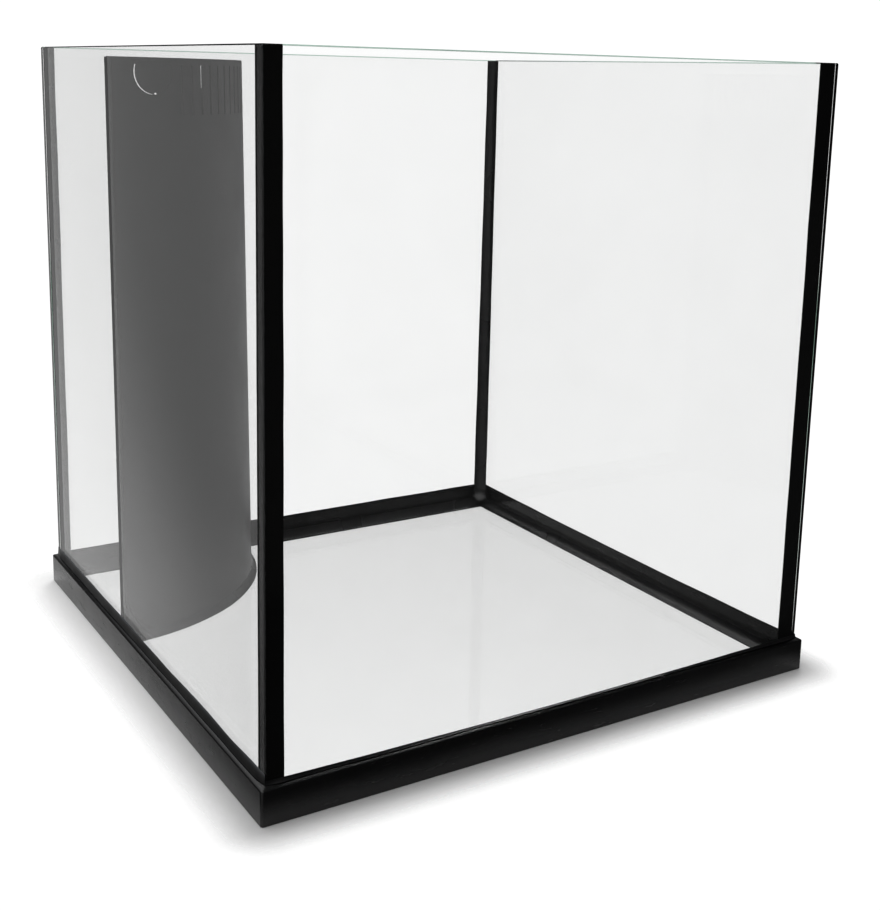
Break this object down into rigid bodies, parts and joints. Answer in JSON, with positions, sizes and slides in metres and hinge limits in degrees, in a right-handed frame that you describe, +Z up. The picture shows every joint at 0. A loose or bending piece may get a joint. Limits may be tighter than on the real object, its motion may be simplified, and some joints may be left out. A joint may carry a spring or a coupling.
{
  "type": "glass aquarium tank",
  "caption": "Rimless cube glass aquarium with black sealed seams, a black base frame and a curved, slotted overflow wall in one back corner.",
  "frame": {"origin": "on the floor, under the middle of the tank", "axes": "+X to the right along the front pane, +Y from the front pane to the back pane, +Z up"},
  "size_m": [0.6222, 0.6222, 0.6327],
  "materials": {
    "float_glass": "polished clear float glass with a green tint at the edges",
    "black_silicone": "cured black silicone, tooled, satin",
    "frame_plastic": "moulded black plastic, semi-gloss",
    "overflow_plastic": "moulded black plastic, satin"
  },
  "bodies": {
    "root": {"front_pane": "float_glass", "back_pane": "float_glass", "left_pane": "float_glass", "right_pane": "float_glass", "bottom_pane": "float_glass", "corner_seam_front_left": "black_silicone", "corner_seam_front_right": "black_silicone", "corner_seam_back_left": "black_silicone", "corner_seam_back_right": "black_silicone", "floor_seam_front": "black_silicone", "floor_seam_right": "black_silicone", "floor_seam_back": "black_silicone", "floor_seam_left": "black_silicone", "base_frame": "frame_plastic", "frame_bond_front": "black_silicone", "frame_bond_right": "black_silicone", "frame_bond_back": "black_silicone", "frame_bond_left": "black_silicone", "overflow_wall": "overflow_plastic", "overflow_seam_left": "black_silicone", "overflow_seam_back": "black_silicone", "overflow_seam_foot": "black_silicone"}
  },
  "joints": []
}
